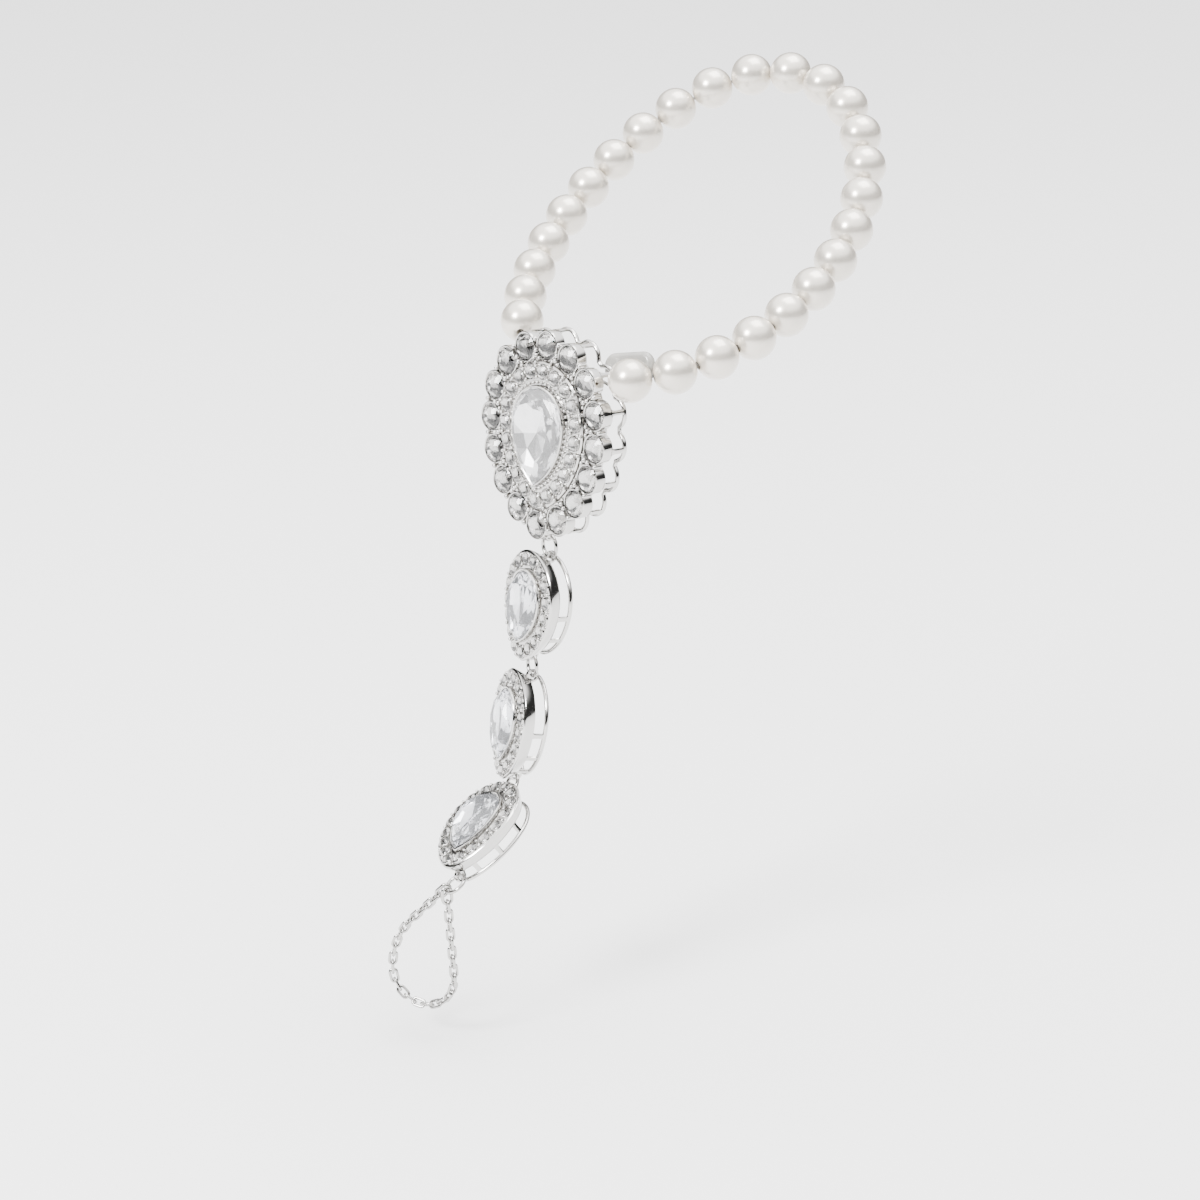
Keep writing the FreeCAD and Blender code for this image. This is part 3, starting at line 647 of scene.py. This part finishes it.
def collars(shape, pear, row, cup):
    for distance in spots(pear, row["offset"], row["count"]):
        point, _ = pear_point(pear, row["offset"], distance)
        collar(shape, point, **cup)


def beads_between(shape, pear, row, beads):
    places = spots(pear, row["offset"], row["count"])
    for distance in between(places, pear, row["offset"]):
        point, outward = pear_point(pear, row["offset"], distance)
        for away, aside, radius, top, bottom in beads:
            bead(shape, point + outward * away + left_of(outward) * aside, radius, top, bottom)


def post(shape, foot, outward, bottom, thick):
    """An upright strip that widens where it meets the metal at both ends."""
    across = left_of(outward)
    rows = []
    for share, spread in POST_SPREAD:
        centre = foot + rise(bottom + (POST_TOP - bottom) * share)
        row = []
        for step in range(POST_SIDES):
            turn = flat(FULL_TURN * step / POST_SIDES)
            wide, deep = (math.copysign(abs(part) ** POST_SQUARENESS, part) for part in turn.xy)
            aside = across * (wide * spread * POST_WIDTH / 2)
            row.append(centre - aside + outward * (deep * thick / 2))
        rows.append(row)
    shape.skin(rows, closed=False)


def lug(shape, pear, direction, reach, level, root):
    """A flat eye past one end of the pear, with a neck that runs back to the metal."""
    inner, outer, half, chamfer = EYE["inner"], EYE["outer"], EYE["width"] / 2, EYE["chamfer"]
    centre = Vector((0, direction * (pear[1] / 2 + reach), level))
    profile = [(inner, -half), (outer - chamfer, -half), (outer, -half + chamfer),
               (outer, half - chamfer), (outer - chamfer, half), (inner, half)]
    rows = []
    for radius, along in profile:
        turns = [flat(FULL_TURN * step / EYE["sides"], radius) for step in range(EYE["sides"])]
        rows.append([centre + Vector((along, turn.x, turn.y)) for turn in turns])
    shape.skin(rows)
    neck = [centre + Vector((0, -direction * (outer - NECK_SINK), 0)),
            centre + Vector((0, -direction * (outer + NECK_BEND), NECK_RISE)),
            Vector((0, centre.y - direction * (outer + NECK_LENGTH), root))]
    tube(shape, neck, half, RAIL_SIDES, closed=False)


def wavy_rail(pear, row):
    """The rail's middle line: an arc round each outer stone, joined in the valleys."""
    half = pear_half_length(pear, row["offset"])
    spacing = 2 * half / row["count"]
    path = []
    for number in range(row["count"] * RAIL_STEPS):
        distance = number * spacing / RAIL_STEPS
        beside = abs((number + RAIL_STEPS / 2) % RAIL_STEPS - RAIL_STEPS / 2) * spacing / RAIL_STEPS
        bulge = max(RAIL_VALLEY, math.sqrt(max(RAIL_REACH ** 2 - beside ** 2, 0.0)))
        signed = distance - 2 * half if distance > half else distance
        point, outward = pear_point(pear, row["offset"], signed)
        path.append(point + outward * bulge + rise(BIG_RAIL_LEVEL))
    return path


chance = random.Random(7)


def stone_row(name, node, piece, pear, row):
    shape = Shape()
    for distance in spots(pear, row["offset"], row["count"]):
        point, outward = pear_point(pear, row["offset"], distance)
        round_stone(shape, point - rise(row["sunk"]), outward, row["radius"], row["crown"],
                    row["pavilion"], chance.uniform(-STONE_SPIN, STONE_SPIN))
    place(shape.build(name, [SMALL_GLASS, SMALL_FOIL], seat(piece)), node, "cut_stone")


def centre_stone(piece, pear, cut, glass):
    shape = Shape()
    pear_stone(shape, pear, cut)
    stone = shape.build(f"{piece}_crystal", [glass, BIG_FOIL], seat(piece))
    place(stone, f"{piece}_stone", "cut_stone")


# Medallion.

metal = Shape()
bezel(metal, BIG_PEAR, **BIG_BEZEL)
pear_sweep(metal, BIG_PEAR, BIG_PLATE)
collars(metal, BIG_PEAR, OUTER, OUTER_CUP)
for distance in spots(BIG_PEAR, OUTER["offset"], OUTER["count"]):
    point, outward = pear_point(BIG_PEAR, OUTER["offset"], distance)
    if point.y > LUG_Y:
        post(metal, point + outward * BIG_POST["outward"], outward, BIG_RAIL_LEVEL, BIG_POST["thick"])
collars(metal, BIG_PEAR, INNER, INNER_CUP)
beads_between(metal, BIG_PEAR, OUTER, OUTER_BEADS)
beads_between(metal, BIG_PEAR, INNER, INNER_BEADS)
for distance in spots(BIG_PEAR, FINE_BEADS["offset"], FINE_BEADS["count"]):
    point, _ = pear_point(BIG_PEAR, FINE_BEADS["offset"], distance)
    bead(metal, point, FINE_BEADS["radius"], FINE_BEADS["top"], FINE_BEADS["bottom"])
tube(metal, wavy_rail(BIG_PEAR, OUTER), RAIL_RADIUS, RAIL_SIDES)
lug(metal, BIG_PEAR, -1, **BIG_EYE)
medallion = metal.build("medallion_metal", [SILVER], seat("medallion"), CRISP_METAL)
place(medallion, "medallion_setting", "silver_metal")
stone_row("medallion_outer_crystals", "medallion_outer_stones", "medallion", BIG_PEAR, OUTER)
stone_row("medallion_inner_crystals", "medallion_inner_stones", "medallion", BIG_PEAR, INNER)
centre_stone("medallion", BIG_PEAR, BIG_CUT, BIG_GLASS)

# Drops: one pattern placed three times.

for piece in ("drop_1", "drop_2", "drop_3"):
    metal = Shape()
    bezel(metal, DROP_PEAR, **DROP_BEZEL)
    pear_sweep(metal, DROP_PEAR, DROP_PLATE)
    collars(metal, DROP_PEAR, HALO, HALO_CUP)
    beads_between(metal, DROP_PEAR, HALO, HALO_BEADS)
    rail = [point + outward * DROP_RAIL_OFFSET + rise(DROP_RAIL_LEVEL)
            for point, outward in pear_stations(DROP_PEAR)]
    tube(metal, rail, RAIL_RADIUS, RAIL_SIDES)
    for distance in DROP_POST["places"]:
        for side in (1, -1):
            point, outward = pear_point(DROP_PEAR, DROP_POST["offset"], side * distance)
            post(metal, point, outward, DROP_RAIL_LEVEL, DROP_POST["thick"])
    for direction in (1, -1):
        lug(metal, DROP_PEAR, direction, **DROP_EYE)
    shown = metal.build(f"{piece}_metal", [SILVER], seat(piece), CRISP_METAL)
    place(shown, f"{piece}_setting", "silver_metal")
    stone_row(f"{piece}_halo_crystals", f"{piece}_halo_stones", piece, DROP_PEAR, HALO)
    centre_stone(piece, DROP_PEAR, DROP_CUT, DROP_GLASS)


# Jump rings and toe chain take their places from the part's own rings and links.

def islands(node):
    """Centre, axes (long, wide, flat) and spans of each separate solid in a node."""
    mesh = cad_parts[node].data
    parent = list(range(len(mesh.vertices)))

    def root(index):
        while parent[index] != index:
            parent[index] = parent[parent[index]]
            index = parent[index]
        return index

    places = np.array([vertex.co for vertex in mesh.vertices]) / MM
    same = {}
    for index, spot in enumerate(np.round(places, 4)):
        parent[root(index)] = root(same.setdefault(tuple(spot), index))
    for edge in mesh.edges:
        parent[root(edge.vertices[0])] = root(edge.vertices[1])
    groups = {}
    for index in range(len(parent)):
        groups.setdefault(root(index), []).append(index)
    found = []
    for members in groups.values():
        points = np.unique(np.round(places[members], 4), axis=0)
        _, axes = np.linalg.eigh(np.cov((points - points.mean(0)).T))
        local = points @ axes
        low, high = local.min(0), local.max(0)
        order = np.argsort(low - high)
        centre = Vector(axes @ ((low + high) / 2))
        found.append((centre, [Vector(axes[:, k]) for k in order], (high - low)[order]))
    return found


for number in range(1, 5):
    node = f"jump_ring_{number}"
    centre, axes, spans = islands(node)[0]
    reach = spans[0] / 2 - RING_WIRE
    turns = [flat(FULL_TURN * step / RING_STEPS, reach) for step in range(RING_STEPS)]
    path = [centre + axes[0] * turn.x + axes[1] * turn.y for turn in turns]
    loop = Shape()
    tube(loop, path, RING_WIRE, RING_SIDES, facing=axes[2])
    connector = loop.build(f"connector_ring_{number}", [WIRE], crisp=CRISP_WIRE)
    place(connector, node, "silver_metal")

chain = Shape()
for centre, axes, spans in islands("toe_chain"):
    wire = END_WIRE if spans[0] > END_LINK else LINK_WIRE
    bend = spans[1] / 2 - wire
    straight = spans[0] / 2 - wire - bend
    path = []
    for end in (1, -1):
        for step in range(LINK_STEPS + 1):
            turn = flat(math.pi * (step / LINK_STEPS - 0.5), bend)
            path.append(centre + axes[0] * (end * (straight + turn.x)) + axes[1] * (end * turn.y))
    tube(chain, path, wire * LINK_FULLNESS, LINK_SIDES, facing=axes[2])
place(chain.build("toe_chain_links", [WIRE], crisp=CRISP_WIRE), "toe_chain", "silver_metal")

# The milky cover behind the first pearl, rounded over its edge, and the thread.

half_long, half_wide, corner, edge = COVER
quarter = [math.pi * step / 16 for step in range(9)]
upper = COVER_TOP + [(edge * (1 - math.sin(angle)), COVER_BELLY + edge * math.cos(angle))
                     for angle in quarter]
profile = [(inset, -level) for inset, level in upper] + upper[::-1]
rows = []
for inset, level in profile:
    row = []
    for number, (side_x, side_y) in enumerate(((1, 1), (-1, 1), (-1, -1), (1, -1))):
        heart = Vector((side_x * (half_long - corner), side_y * (half_wide - corner), level))
        turns = [math.pi / 2 * (number + step / 9) for step in range(10)]
        row += [heart + flat(turn, corner - inset) for turn in turns]
    rows.append(row)
cover = Shape()
cover.skin(rows, closed=False)
place(cover.build("milky_knot_cover", [MILKY], seat("knot_cover"), CRISP_COVER),
      "knot_cover", "milky_pad")

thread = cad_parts["elastic_thread"]
thread.data.materials.clear()
thread.data.materials.append(THREAD)

# Floor, light and camera. From here on sizes are metres.

FLOOR_LEVEL = -0.147
FLOOR_REACH = 12.0
LIGHT_TARGET = (-0.005, -0.02, -0.05)
CAMERA_SPOT = (0.27512, -0.48094, 0.10741)
CAMERA_TURN, CAMERA_TILT = math.radians(31.55), math.radians(18.0)
LENS, SENSOR = 90.0, 36.0

floor_shape = bpy.data.meshes.new("floor")
corners = [(x * FLOOR_REACH, y * FLOOR_REACH, FLOOR_LEVEL)
           for x, y in ((-1, -1), (1, -1), (1, 1), (-1, 1))]
floor_shape.from_pydata(corners, [], [[0, 1, 2, 3]])
floor = bpy.data.objects.new("floor", floor_shape)
bpy.context.scene.collection.objects.link(floor)
floor_paint, _, floor_shader = new_material("pale_floor")
settings(floor_shader, {"Base Color": (*grey(0.86), 1.0), "Roughness": 0.7})
floor_shape.materials.append(floor_paint)


def soft_box(name, spot, size, power):
    data = bpy.data.lights.new(name, "AREA")
    data.shape = "SQUARE"
    data.size = size
    data.energy = power
    lamp = bpy.data.objects.new(name, data)
    bpy.context.scene.collection.objects.link(lamp)
    lamp.location = spot
    lamp.rotation_mode = "QUATERNION"
    lamp.rotation_quaternion = (Vector(LIGHT_TARGET) - Vector(spot)).to_track_quat("-Z", "Y")


soft_box("key_light", (-0.24, -0.80, 0.56), 0.30, 20.0)
soft_box("top_light", (0.10, 0.20, 1.10), 0.80, 20.0)

# The studio is one smooth dome, dark toward the horizon and bright overhead.

world = bpy.data.worlds.new("studio")
bpy.context.scene.world = world
world.use_nodes = True
tree = world.node_tree
direction = tree.nodes.new("ShaderNodeTexCoord")
split = tree.nodes.new("ShaderNodeSeparateXYZ")
tree.links.new(direction.outputs["Generated"], split.inputs["Vector"])
dome = ramp(tree, split.outputs["Z"], [
    (0.0, grey(0.05)), (0.34, grey(0.05)), (0.46, grey(0.5)), (0.60, grey(3.2)), (1.0, grey(4.6)),
])
tree.links.new(dome.outputs["Color"], tree.nodes["Background"].inputs["Color"])

sin_turn, cos_turn = math.sin(CAMERA_TURN), math.cos(CAMERA_TURN)
sin_tilt, cos_tilt = math.sin(CAMERA_TILT), math.cos(CAMERA_TILT)
right = Vector((cos_turn, sin_turn, 0))
back = Vector((sin_turn * cos_tilt, -cos_turn * cos_tilt, sin_tilt))
up = back.cross(right)
lens = bpy.data.cameras.new("camera")
lens.lens = LENS
lens.sensor_width = SENSOR
lens.clip_start = 0.01
lens.clip_end = 100.0
camera = bpy.data.objects.new("camera", lens)
bpy.context.scene.collection.objects.link(camera)
camera.matrix_world = Matrix([
    (*parts, spot) for parts, spot in zip(zip(right, up, back), CAMERA_SPOT)
] + [(0, 0, 0, 1)])
bpy.context.scene.camera = camera
